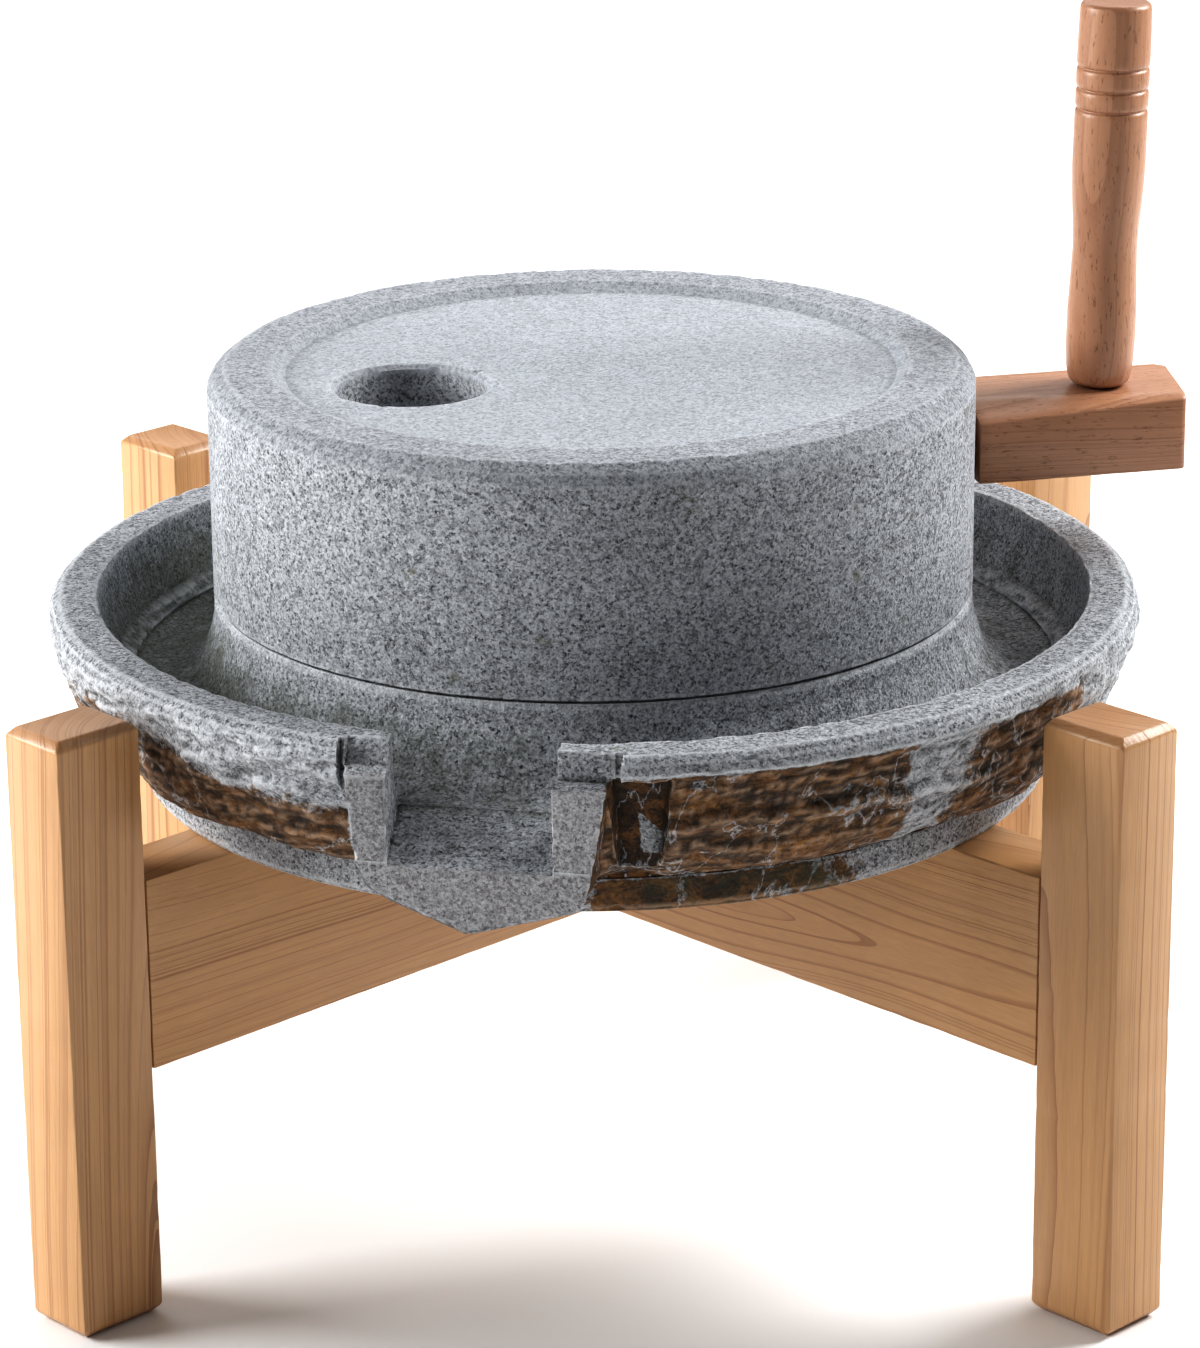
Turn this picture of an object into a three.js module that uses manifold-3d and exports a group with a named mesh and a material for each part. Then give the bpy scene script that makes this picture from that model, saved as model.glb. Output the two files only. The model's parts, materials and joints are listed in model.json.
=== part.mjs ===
// A hand-turned rotary quern of speckled granite on a pine cross stand.
// The runner stone turns on the bed stone; meal falls into the ring channel and leaves by the spout.
// Millimetres, +Z up. The origin is on the floor under the middle of the whole object, and the
// viewer's side is -Y. The four legs stand on the diagonals.

import * as THREE from 'three';
import { mergeVertices } from 'three/addons/utils/BufferGeometryUtils.js';
import Module from 'manifold-3d';

const wasm = await Module();
wasm.setup();

// ---------------------------------------------------------------- driving dimensions

const GAP = 0.3;                     // clearance between pieces that touch
const MILL = { x: -8.6, y: -15.9 };  // axis that the runner turns about
const STAND = { x: -7.6, y: 19.6 }; // middle of the cross stand

// cross stand
const LEG_HEIGHT = 200.7;
const LEG_DEPTH = 32;                // along its rail
const LEG_WIDTH = 26;                // across its rail
const LEG_INNER = 209.2;             // from the middle of the cross to a leg's inner face
const LEG_BEVEL = 2.6;
const RAIL_TOP = 147.8;
const RAIL_BOTTOM = 84;
const RAIL_THICK = 26;

// bed stone and tray, carved as one
const RUNNER_RADIUS = 125;
const FOOT_BOTTOM = RAIL_TOP + GAP;
const FOOT_TOP = 159.5;
const FOOT_RADIUS = 150.5;
const RIM_TOP = 207.9;
const RIM_INNER = 162.4;
const RIM_OUTER = 176;
const BED_TOP = 206.3;
const CHANNEL_FLOOR = 179.5;
const HEWN_REACH = 3.2;              // how far the hewn side falls back at most

// spout, cut from the same stone
const SPOUT_TURN = THREE.MathUtils.degToRad(259.8);  // where it points, from +X
const SPOUT_FACE = 177.3;            // axis to the sawn front face
const SPOUT_HALF = 41;               // half of the width across both cheeks
const SPOUT_OPENING_LEFT = -28.2;    // at the front face; the left wall opens out inwards
const SPOUT_OPENING_RIGHT = 22;
const SPOUT_FLARE = 0.1;             // sideways for each millimetre inwards
const SPOUT_LIP = 171.2;             // height of the channel's lip at the front face
const RAMP_START = 146;              // axis to where the channel's floor starts to fall to the lip
const LEDGE_TOP = 198.5;
const LEDGE_BACK = 168.6;            // axis to the upright cut above the right ledge
const KERF_WIDTH = 2.2;              // saw cuts beside the cheeks
const RECESS_LEFT = 2.5;             // where the rock broke away beside the spout
const RECESS_RIGHT = 3;
const RECESS_SPREAD = 0.11;          // radians

// runner stone
const RUNNER_BOTTOM = BED_TOP + GAP;
const RUNNER_TOP = 282;
const RUNNER_RIM = 119.3;            // outer radius of the flat rim
const SHOULDER_BOTTOM = 275.8;
const DISH_RADIUS = 103.5;
const DISH_DEPTH = 3.2;
const DISH_WALL = 4.5;               // horizontal run of the dish's sloping wall
const EYE_RADIUS = 24.6;
const EYE_FROM_AXIS = 60.6;
const EYE_TURN = THREE.MathUtils.degToRad(198.3);
const EYE_CHAMFER = 1.6;

// handle
const BLOCK_TURN = THREE.MathUtils.degToRad(13.9);
const BLOCK_START = 126.3;           // from the mill axis
const BLOCK_END_NEAR = 198;          // the outer end is cut a little out of square
const BLOCK_END_FAR = 203.4;
const BLOCK_HALF_WIDTH = 20.3;
const BLOCK_TOP = 261;
const BLOCK_HEIGHT = 25.7;
const BLOCK_CORNER = 3.4;
const BEVEL_DROP = 5.2;              // planed off the near top edge at the stone
const BEVEL_RUN = 14.5;
const BEVEL_TAPER = THREE.MathUtils.degToRad(8.7);
const TENON_LENGTH = 22;
const TENON_HALF_WIDTH = 9;
const TENON_HALF_HEIGHT = 8;
const GRIP_FROM_AXIS = 173.6;
const GRIP_LENGTH = 128.6;
const GRIP_LEAN = THREE.MathUtils.degToRad(1.3);

const ROUND_SEGMENTS = 84;

// ---------------------------------------------------------------- finishes

const granite = new THREE.MeshStandardMaterial({ color: 0xb4bab8, roughness: 0.88, metalness: 0 });
const granitePale = new THREE.MeshStandardMaterial({ color: 0xc3c8cb, roughness: 0.86, metalness: 0 });
const pine = new THREE.MeshStandardMaterial({ color: 0xd9b284, roughness: 0.6, metalness: 0 });
const beech = new THREE.MeshStandardMaterial({ color: 0xb98f72, roughness: 0.55, metalness: 0 });

// ---------------------------------------------------------------- solid tools

// One closed mesh with shared corners: only position is kept and collapsed faces are dropped.
function closedMesh(geometry) {
  const bare = geometry.clone();
  bare.deleteAttribute('normal');
  bare.deleteAttribute('uv');
  const merged = mergeVertices(bare, 1e-3);
  const corners = merged.index.array;
  const kept = [];
  for (let i = 0; i < corners.length; i += 3) {
    const [a, b, c] = [corners[i], corners[i + 1], corners[i + 2]];
    if (a !== b && b !== c && c !== a) kept.push(a, b, c);
  }
  merged.setIndex(kept);
  return merged;
}

function toSolid(geometry) {
  const closed = closedMesh(geometry);
  const mesh = new wasm.Mesh({
    numProp: 3,
    vertProperties: new Float32Array(closed.attributes.position.array),
    triVerts: new Uint32Array(closed.index.array),
  });
  return new wasm.Manifold(mesh);
}

function toGeometry(solid) {
  const { vertProperties, triVerts } = solid.getMesh();
  const geometry = new THREE.BufferGeometry();
  geometry.setAttribute('position', new THREE.BufferAttribute(vertProperties, 3));
  geometry.setIndex(new THREE.BufferAttribute(triVerts, 1));
  geometry.computeVertexNormals();
  return geometry;
}

// A turned form from [radius, height] pairs, listed upwards on the outside.
function turned(profile, segments = ROUND_SEGMENTS) {
  const points = profile.map(([radius, height]) => new THREE.Vector2(radius, height));
  return new THREE.LatheGeometry(points, segments).rotateX(Math.PI / 2);
}

// A flat outline of [x, y] pairs, raised from one height to another.
function raised(outline, bottom, top) {
  const shape = new THREE.Shape(outline.map(([x, y]) => new THREE.Vector2(x, y)));
  const geometry = new THREE.ExtrudeGeometry(shape, { depth: top - bottom, bevelEnabled: false });
  return geometry.translate(0, 0, bottom);
}

function block(x0, x1, y0, y1, z0, z1) {
  return raised([[x0, y0], [x1, y0], [x1, y1], [x0, y1]], z0, z1);
}

// Spout and handle are drawn pointing along +X, with +Y sideways, and turned to their angle later.
const OUTWARDS = new THREE.Vector3(1, 0, 0);
const SIDEWAYS = new THREE.Vector3(0, 1, 0);
const UP = new THREE.Vector3(0, 0, 1);

// Stands an outline of [sideways, up] pairs upright and runs it outwards between two distances.
function runOut(outline, near, far) {
  const upright = new THREE.Matrix4().makeBasis(SIDEWAYS, UP, OUTWARDS);
  return raised(outline, near, far).applyMatrix4(upright);
}

// Stands an outline of [outwards, up] pairs upright and runs it sideways from left to right.
function runAcross(outline, left, right) {
  const upright = new THREE.Matrix4().makeBasis(OUTWARDS, UP, SIDEWAYS.clone().negate());
  return raised(outline, -right, -left).applyMatrix4(upright);
}

function piece(name, geometry, material) {
  const mesh = new THREE.Mesh(geometry, material);
  mesh.name = name;
  return mesh;
}

// ---------------------------------------------------------------- cross stand

// One square-cut post with bevelled ends, its inner face towards the middle of the cross.
function leg() {
  const half = LEG_WIDTH / 2;
  const outline = [
    [LEG_INNER, -half],
    [LEG_INNER + LEG_DEPTH, -half],
    [LEG_INNER + LEG_DEPTH, half],
    [LEG_INNER, half],
  ];
  const shape = new THREE.Shape(outline.map(([x, y]) => new THREE.Vector2(x, y)));
  const geometry = new THREE.ExtrudeGeometry(shape, {
    depth: LEG_HEIGHT - 2 * LEG_BEVEL,
    bevelEnabled: true,
    bevelSize: LEG_BEVEL,
    bevelOffset: -LEG_BEVEL,
    bevelThickness: LEG_BEVEL,
    bevelSegments: 1,
  });
  return toGeometry(toSolid(geometry.translate(0, 0, LEG_BEVEL)));
}

// A rail along X from leg to leg, halved at the middle so that the other rail crosses it.
function rail(halvedFromTop) {
  const end = LEG_INNER - GAP;
  const half = RAIL_THICK / 2;
  const middle = (RAIL_TOP + RAIL_BOTTOM) / 2;
  const slot = half + GAP;
  const seat = GAP / 2;
  const notch = halvedFromTop
    ? block(-slot, slot, -half - 1, half + 1, middle - seat, RAIL_TOP + 1)
    : block(-slot, slot, -half - 1, half + 1, RAIL_BOTTOM - 1, middle + seat);
  const beam = toSolid(block(-end, end, -half, half, RAIL_BOTTOM, RAIL_TOP));
  return toGeometry(beam.subtract(toSolid(notch)));
}

function crossStand() {
  const stand = new THREE.Group();
  const corners = [
    ['leg_back_right', 45],
    ['leg_back_left', 135],
    ['leg_front_left', 225],
    ['leg_front_right', 315],
  ];
  for (const [name, degrees] of corners) {
    const post = piece(name, leg(), pine);
    post.rotation.z = THREE.MathUtils.degToRad(degrees);
    stand.add(post);
  }
  const rails = [
    ['rail_left_to_back', 45, true],
    ['rail_right_to_back', 135, false],
  ];
  for (const [name, degrees, halvedFromTop] of rails) {
    const beam = piece(name, rail(halvedFromTop), pine);
    beam.rotation.z = THREE.MathUtils.degToRad(degrees);
    stand.add(beam);
  }
  stand.position.set(STAND.x, STAND.y, 0);
  return stand;
}

// ---------------------------------------------------------------- bed stone and tray

// The side was split and hewn, not turned: flats and hollows fall back from the fullest outline,
// by little at the rim and more towards the foot.
function hewnFallBack(angle, height) {
  const down = (RIM_TOP - height) / (RIM_TOP - FOOT_TOP);
  const open = Math.min(1, 2.2 * down);
  const flats = Math.abs(Math.sin(5.5 * angle + 0.9 * Math.sin(2 * angle) + 2.2 * down));
  const lumps = 0.5 + 0.5 * Math.sin(17 * angle + 5 * down + 2 * Math.sin(3 * angle));
  return HEWN_REACH * open * (0.65 * (1 - flats) + 0.35 * lumps);
}

// Beside the spout the rock broke away deeper, so that the spout's sides stand free.
function spoutRecess(angle, height) {
  const turn = Math.atan2(Math.sin(angle - SPOUT_TURN), Math.cos(angle - SPOUT_TURN));
  const depth = turn > 0 ? RECESS_RIGHT : RECESS_LEFT;
  const edge = SPOUT_HALF / RIM_OUTER;
  const near = Math.max(0, 1 - Math.abs(Math.abs(turn) - edge) / RECESS_SPREAD);
  const under = Math.max(0, Math.min(1, (RIM_TOP - 4 - height) / 14));
  return depth * near * under;
}

function bedAndTray() {
  const hewn = [
    [157.5, FOOT_TOP + 0.8],
    [164.5, 164.5],
    [170.5, 172],
    [174, 180],
    [177.2, 188],
    [179.6, 195.5],
    [180, 202],
    [178.4, 205.6],
  ];
  const profile = [
    [0, FOOT_BOTTOM],
    [FOOT_RADIUS - 1.2, FOOT_BOTTOM],
    [FOOT_RADIUS, FOOT_BOTTOM + 1.2],
    [FOOT_RADIUS, FOOT_TOP],
    ...hewn,
    [RIM_OUTER - 0.6, RIM_TOP],
    [RIM_INNER + 1, RIM_TOP],
    [RIM_INNER, RIM_TOP - 1],
    [RIM_INNER - 1.4, 196],
    [RIM_INNER - 4.8, 185.5],
    [RIM_INNER - 10.3, 180.4],
    [RIM_INNER - 16, CHANNEL_FLOOR],
    [138.5, CHANNEL_FLOOR],
    [133.4, 180.9],
    [129.4, 184.5],
    [126.6, 193],
    [RUNNER_RADIUS, 200],
    [RUNNER_RADIUS, BED_TOP - 1],
    [RUNNER_RADIUS - 1, BED_TOP],
    [0, BED_TOP],
  ];
  const stone = closedMesh(turned(profile));
  const spots = stone.attributes.position;
  for (let i = 0; i < spots.count; i += 1) {
    const [x, y, z] = [spots.getX(i), spots.getY(i), spots.getZ(i)];
    const radius = Math.hypot(x, y);
    const onHewnSide = radius > FOOT_RADIUS + 2 && z > FOOT_TOP && z < RIM_TOP - 1;
    if (!onHewnSide) continue;
    const angle = Math.atan2(y, x);
    const cut = hewnFallBack(angle, z) + spoutRecess(angle, z);
    const scale = Math.max(radius - cut, FOOT_RADIUS + 1.5) / radius;
    spots.setXY(i, x * scale, y * scale);
  }
  return toSolid(stone);
}

// The spout's sawn front outline as [sideways, up]: upright cheeks and a keel-shaped underside.
function spoutOutline(top) {
  return [
    [SPOUT_HALF - 1, top],
    [-SPOUT_HALF - 1, top],
    [-38.5, 171],
    [-35, 164],
    [-28, 160],
    [-18, 156],
    [-4, 150.4],
    [13, 155],
    [29.5, 159.5],
    [32.5, 163.5],
    [36, 180],
  ];
}

// The opening between the cheeks: its floor falls to the lip and its left wall opens out inwards.
function spoutOpening() {
  const beyond = SPOUT_FACE + 4;
  const fall = (CHANNEL_FLOOR - SPOUT_LIP) / (SPOUT_FACE - RAMP_START);
  const ramp = runAcross(
    [
      [RAMP_START, CHANNEL_FLOOR],
      [beyond, SPOUT_LIP - 4 * fall],
      [beyond, RIM_TOP + 4],
      [RAMP_START, RIM_TOP + 4],
    ],
    -60,
    60,
  );
  const left = SPOUT_OPENING_LEFT - SPOUT_FLARE * (SPOUT_FACE - RAMP_START);
  const plan = [
    [RAMP_START, left],
    [beyond, SPOUT_OPENING_LEFT + 4 * SPOUT_FLARE],
    [beyond, SPOUT_OPENING_RIGHT],
    [RAMP_START, SPOUT_OPENING_RIGHT + 0.6],
  ];
  return toSolid(ramp).intersect(toSolid(raised(plan, 160, RIM_TOP + 4)));
}

// What is taken off above the cheeks: a square step on the right, a sloping face and a step on the left.
function overLedges() {
  const beyond = SPOUT_FACE + 9;
  const right = block(LEDGE_BACK, beyond, 0, SPOUT_HALF - 1, LEDGE_TOP, RIM_TOP + 2);
  const left = runAcross(
    [
      [163.7, RIM_TOP + 2],
      [171.5, 201.2],
      [beyond, 196.6],
      [beyond, RIM_TOP + 2],
    ],
    -SPOUT_HALF - 1,
    0,
  );
  return toSolid(left).add(toSolid(right));
}

// Right of the spout the rock broke away almost to the foot.
function brokenAway() {
  const depth = runAcross(
    [
      [165.5, 199.6],
      [157.4, 186],
      [153, 173],
      [152.4, FOOT_TOP + 1.6],
      [200, FOOT_TOP + 1.6],
      [200, 199.6],
    ],
    20,
    80,
  );
  const plan = [
    [140, SPOUT_HALF - 2.5],
    [200, SPOUT_HALF - 2.5],
    [200, 70],
    [171, 58],
    [150, 49],
  ];
  return toSolid(depth).intersect(toSolid(raised(plan, FOOT_TOP, RIM_TOP)));
}

function withSpout(tray) {
  // the cheeks start inside the tray's wall, and the keel inside the solid stone under the channel
  const cheeks = runOut(spoutOutline(RIM_TOP - 2), RIM_INNER + 3, SPOUT_FACE);
  const keel = runOut(spoutOutline(RIM_TOP - 2), FOOT_RADIUS - 12, SPOUT_FACE);
  const underChannel = block(0, SPOUT_FACE + 9, -60, 60, 0, CHANNEL_FLOOR - 7);
  const solidKeel = toSolid(keel).intersect(toSolid(underChannel));
  const turn = [0, 0, THREE.MathUtils.radToDeg(SPOUT_TURN)];
  const spout = toSolid(cheeks).add(solidKeel).subtract(overLedges()).subtract(spoutOpening());

  const kerfs = [-SPOUT_HALF - 1 - KERF_WIDTH / 2, SPOUT_HALF - 1 + KERF_WIDTH / 2].map((middle) => (
    toSolid(block(LEDGE_BACK - 1, SPOUT_FACE + 9, middle - KERF_WIDTH / 2, middle + KERF_WIDTH / 2, 172, RIM_TOP + 2))
  ));
  let stone = tray;
  for (const cut of [overLedges(), spoutOpening(), brokenAway(), ...kerfs]) {
    stone = stone.subtract(cut.rotate(turn));
  }
  return stone.add(spout.rotate(turn));
}

function bedStone() {
  const stone = piece('bed_and_tray', toGeometry(withSpout(bedAndTray())), granite);
  stone.position.set(MILL.x, MILL.y, 0);
  return stone;
}

// ---------------------------------------------------------------- runner stone and handle

function runnerStone() {
  const profile = [
    [0, RUNNER_BOTTOM],
    [RUNNER_RADIUS - 1.2, RUNNER_BOTTOM],
    [RUNNER_RADIUS, RUNNER_BOTTOM + 1.2],
    [RUNNER_RADIUS, SHOULDER_BOTTOM],
    [RUNNER_RADIUS - 1.8, RUNNER_TOP - 3],
    [RUNNER_RIM, RUNNER_TOP],
    [DISH_RADIUS, RUNNER_TOP],
    [DISH_RADIUS - DISH_WALL, RUNNER_TOP - DISH_DEPTH],
    [0, RUNNER_TOP - DISH_DEPTH],
  ];
  const dishFloor = RUNNER_TOP - DISH_DEPTH;
  const eye = turned(
    [
      [0, RUNNER_BOTTOM - 1],
      [EYE_RADIUS, RUNNER_BOTTOM - 1],
      [EYE_RADIUS, dishFloor - EYE_CHAMFER],
      [EYE_RADIUS + EYE_CHAMFER, dishFloor],
      [EYE_RADIUS + EYE_CHAMFER, RUNNER_TOP + 1],
      [0, RUNNER_TOP + 1],
    ],
    40,
  );
  eye.translate(EYE_FROM_AXIS * Math.cos(EYE_TURN), EYE_FROM_AXIS * Math.sin(EYE_TURN), 0);
  const socket = tenon(TENON_LENGTH + GAP, GAP).rotateZ(BLOCK_TURN);
  return toSolid(turned(profile)).subtract(toSolid(eye)).subtract(toSolid(socket));
}

// The tongue of the handle block that is let into the runner's side, and, grown, its socket.
function tenon(length, growth) {
  const middle = BLOCK_TOP - BLOCK_HEIGHT / 2;
  const half = TENON_HALF_WIDTH + growth;
  const rise = TENON_HALF_HEIGHT + growth;
  return block(RUNNER_RADIUS - length, BLOCK_START + 4, -half, half, middle - rise, middle + rise);
}

// A beech block, its outer end cut out of square and its near top edge planed to a tapering bevel.
function handleBlock() {
  const near = -BLOCK_HALF_WIDTH;
  const far = BLOCK_HALF_WIDTH;
  const outline = [
    [BLOCK_START, near],
    [BLOCK_END_NEAR - BLOCK_CORNER * 0.3, near],
    [BLOCK_END_NEAR, near + BLOCK_CORNER * 0.3],
    [BLOCK_END_FAR, far - BLOCK_CORNER],
    [BLOCK_END_FAR - BLOCK_CORNER, far],
    [BLOCK_START, far],
  ];
  const body = toSolid(raised(outline, BLOCK_TOP - BLOCK_HEIGHT, BLOCK_TOP));
  // the bevel narrows from the stone to the outer end
  const slope = BEVEL_DROP / BEVEL_RUN;
  const start = [near - 2, BLOCK_TOP - BEVEL_DROP - 2 * slope];
  const finish = [near + BEVEL_RUN + 6, BLOCK_TOP + 6 * slope];
  const bevel = runOut([start, finish, [start[0], finish[1]]], -8, BLOCK_END_FAR - BLOCK_START + 8);
  bevel.translate(0, -near - BEVEL_RUN, 0);
  bevel.rotateZ(-BEVEL_TAPER);
  bevel.translate(BLOCK_START, near + BEVEL_RUN, 0);
  return body.subtract(toSolid(bevel)).add(toSolid(tenon(TENON_LENGTH, 0)));
}

// The turned grip: a rounded foot, a swell, a slight waist, and three ring cuts below the flat top.
function handleGrip() {
  const ringCut = (height, radius) => [
    [radius, height - 0.9],
    [radius - 0.7, height],
    [radius, height + 0.9],
  ];
  const profile = [
    [0, 0],
    [8.2, 0],
    [10, 1.4],
    [11, 5],
    [11.5, 14],
    [11.5, 26],
    [11, 37],
    [10.65, 46],
    [10.9, 54],
    [11.6, 63],
    [12.05, 74],
    ...ringCut(93.4, 12),
    ...ringCut(100.1, 12),
    ...ringCut(107.2, 12),
    [11.9, 118],
    [11.7, GRIP_LENGTH - 1.8],
    [10.6, GRIP_LENGTH - 0.4],
    [9.6, GRIP_LENGTH],
    [0, GRIP_LENGTH],
  ];
  return toSolid(turned(profile, 28));
}

function runner() {
  const group = new THREE.Group();
  const stone = piece('runner_stone', toGeometry(runnerStone()), granitePale);
  const arm = piece('handle_block', toGeometry(handleBlock()), beech);
  arm.rotation.z = BLOCK_TURN;
  const grip = piece('handle_grip', toGeometry(handleGrip()), beech);
  const foot = 12 * Math.sin(GRIP_LEAN);
  grip.position.set(
    GRIP_FROM_AXIS * Math.cos(BLOCK_TURN),
    GRIP_FROM_AXIS * Math.sin(BLOCK_TURN),
    BLOCK_TOP + GAP + foot,
  );
  grip.rotation.y = GRIP_LEAN;
  group.add(stone, arm, grip);
  group.position.set(MILL.x, MILL.y, 0);
  return group;
}

// ---------------------------------------------------------------- the whole quern

const quern = new THREE.Group();
quern.add(crossStand(), bedStone(), runner());
export default quern;
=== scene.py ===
# %% [markdown]
# # A granite rotary quern on a pine cross stand
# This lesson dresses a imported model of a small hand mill. The solids already have their sizes,
# so every cell here makes one piece or one finish: finer stone, softened wood edges, speckle,
# grain and stain. The stone and the wood are worked in millimetres round the mill's axis,
# and each piece is set down in metres at the end.

# %% Load the frame
import json
import math

import bmesh
import bpy
from mathutils import Euler, Matrix, Vector, noise


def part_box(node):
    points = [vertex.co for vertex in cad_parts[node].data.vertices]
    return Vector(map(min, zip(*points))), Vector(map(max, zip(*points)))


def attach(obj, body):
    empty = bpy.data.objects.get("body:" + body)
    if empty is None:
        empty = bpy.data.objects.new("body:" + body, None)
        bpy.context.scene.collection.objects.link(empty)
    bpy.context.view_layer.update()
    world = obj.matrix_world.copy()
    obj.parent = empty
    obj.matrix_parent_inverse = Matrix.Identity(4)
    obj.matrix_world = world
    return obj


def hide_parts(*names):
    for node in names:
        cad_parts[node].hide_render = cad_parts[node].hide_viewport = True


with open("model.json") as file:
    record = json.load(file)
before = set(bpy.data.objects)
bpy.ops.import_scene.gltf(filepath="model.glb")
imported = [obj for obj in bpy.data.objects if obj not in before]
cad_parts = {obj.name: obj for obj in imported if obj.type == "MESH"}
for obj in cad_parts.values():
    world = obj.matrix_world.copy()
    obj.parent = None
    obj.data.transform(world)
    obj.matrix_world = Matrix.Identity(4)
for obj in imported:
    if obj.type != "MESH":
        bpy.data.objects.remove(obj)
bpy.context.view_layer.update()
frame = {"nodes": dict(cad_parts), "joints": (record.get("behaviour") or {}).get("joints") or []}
MILLIMETRES = 1000
HINGE = Vector(frame["joints"][0]["pos_m"])
MILL_AXIS = Vector((HINGE.x, HINGE.y, 0))
print("nodes:", sorted(frame["nodes"]))
print("mill axis:", tuple(round(c, 4) for c in MILL_AXIS))

# %% [markdown]
# The camera stands in front of the mill, a little above it, looking down at the dish. It comes
# first, because how near it is decides how fine every later detail has to be.

# %% Camera
CAMERA_PLACE = (0.0222, -1.5351, 0.6930)
CAMERA_HEADING = math.radians(1.091)     # turned to the right of straight ahead
CAMERA_DOWN = math.radians(18.872)
CAMERA_ROLL = math.radians(-0.588)
CAMERA_LENS = 129.04                     # millimetres, on a 36 mm sensor's long side


def make_camera():
    data = bpy.data.cameras.new("viewer")
    data.lens = CAMERA_LENS
    data.clip_start = 0.05
    data.clip_end = 60
    camera = bpy.data.objects.new("viewer", data)
    level = Euler((math.pi / 2 - CAMERA_DOWN, 0, CAMERA_HEADING)).to_matrix()
    roll = Matrix.Rotation(CAMERA_ROLL, 3, "Z")
    camera.matrix_world = Matrix.Translation(CAMERA_PLACE) @ (level @ roll).to_4x4()
    bpy.context.scene.collection.objects.link(camera)
    bpy.context.scene.camera = camera
    return camera


camera = make_camera()
ahead = camera.matrix_world.to_3x3() @ Vector((0, 0, -1))
print("camera looks along", tuple(round(c, 3) for c in ahead))

# %% [markdown]
# Shader arithmetic is easier to read as ordinary expressions. `Socket` wraps the output of a
# node, so that `1 - mask` or `tone * 0.4 + 0.6` adds the Math nodes by itself. `Finish` holds one
# material and adds every other kind of node through a single method.

# %% Shader arithmetic
class Socket:
    def __init__(self, finish, socket):
        self.finish = finish
        self.socket = socket

    def maths(self, operation, *values):
        return self.finish.node("ShaderNodeMath", {"operation": operation}, dict(enumerate(values)))

    def __add__(self, other):
        return self.maths("ADD", self, other)

    def __radd__(self, other):
        return self.maths("ADD", other, self)

    def __sub__(self, other):
        return self.maths("SUBTRACT", self, other)

    def __rsub__(self, other):
        return self.maths("SUBTRACT", other, self)

    def __mul__(self, other):
        return self.maths("MULTIPLY", self, other)

    def __rmul__(self, other):
        return self.maths("MULTIPLY", other, self)

    def __truediv__(self, other):
        return self.maths("DIVIDE", self, other)

    def __pow__(self, other):
        return self.maths("POWER", self, other)


class Finish:
    def __init__(self, name):
        self.material = bpy.data.materials.new(name)
        self.material.use_nodes = True
        self.tree = self.material.node_tree
        self.tree.nodes.clear()

    def node(self, kind, settings=None, inputs=None, out=0):
        made = self.tree.nodes.new(kind)
        for key, value in (settings or {}).items():
            if key == "stops":
                stops = made.color_ramp.elements
                while len(stops) < len(value):
                    stops.new(1)
                for stop, (place, colour) in zip(stops, value):
                    stop.position = place
                    stop.color = colour
            else:
                setattr(made, key, value)
        for key, value in (inputs or {}).items():
            if isinstance(value, Socket):
                self.tree.links.new(value.socket, made.inputs[key])
            else:
                made.inputs[key].default_value = value
        return Socket(self, made.outputs[out]) if len(made.outputs) else None

    def place(self):
        return self.node("ShaderNodeTexCoord", out="Object")

    def cloud(self, where, size, detail=3, roughness=0.5, warp=0):
        """Soft noise from 0 to 1 whose lumps are about `size` metres across."""
        values = {"Vector": where, "Scale": 1 / size, "Detail": detail, "Roughness": roughness,
                  "Distortion": warp}
        return self.node("ShaderNodeTexNoise", {}, values)

    def shift(self, where, vector):
        return self.node("ShaderNodeVectorMath", {"operation": "ADD"}, {0: where, 1: vector})

    def stretch(self, where, factors):
        return self.node("ShaderNodeVectorMath", {"operation": "MULTIPLY"}, {0: where, 1: factors})

    def between(self, value, low, high):
        """0 below `low`, 1 above `high`, and an even slope in the middle; `low` may be the higher."""
        limits = {"Value": value, "From Min": low, "From Max": high, "To Min": 0, "To Max": 1}
        return self.node("ShaderNodeMapRange", {"clamp": True}, limits)

    def mix(self, factor, first, second, how="MIX"):
        return self.node("ShaderNodeMix", {"data_type": "RGBA", "blend_type": how},
                         {0: factor, 6: first, 7: second}, out=2)

    def grey(self, value):
        return self.node("ShaderNodeCombineColor", {}, {0: value, 1: value, 2: value})

    def attribute(self, name):
        return self.node("ShaderNodeAttribute", {"attribute_name": name}, out="Fac")

    def close(self, colour, roughness, height=None, relief=0.0003, strength=1.0):
        values = {"Base Color": colour, "Roughness": roughness}
        if height is not None:
            values["Normal"] = self.node("ShaderNodeBump", {}, {
                "Height": height, "Distance": relief, "Strength": strength})
        shader = self.node("ShaderNodeBsdfPrincipled", {}, values)
        self.node("ShaderNodeOutputMaterial", {}, {"Surface": shader})
        return self.material


def paint(red, green, blue):
    """A colour as a painter names it, from 0 to 255, turned into linear light."""
    def linear(value):
        part = value / 255
        return part / 12.92 if part <= 0.04045 else ((part + 0.055) / 1.055) ** 2.4
    return (linear(red), linear(green), linear(blue), 1)


print("a mid grey in linear light:", round(paint(128, 128, 128)[0], 3))

# %% [markdown]
# Granite is a mosaic of small crystals: mostly pale feldspar and clear grey quartz, with flecks of
# nearly black mica. Voronoi cells of about a millimetre stand for the crystals. Each cell draws
# its own random number, and a ramp turns that number into one of the minerals. The cells are
# bent by a little noise first, so that no crystal has straight sides.

# %% Granite crystals
CRYSTAL = 0.00095
FINE_CRYSTAL = 0.00052
MICA = paint(58, 60, 61)
QUARTZ = paint(128, 130, 134)
FELDSPAR = paint(182, 185, 190)
CHALK = paint(216, 218, 222)
CLUMP = paint(86, 90, 90)


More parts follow.
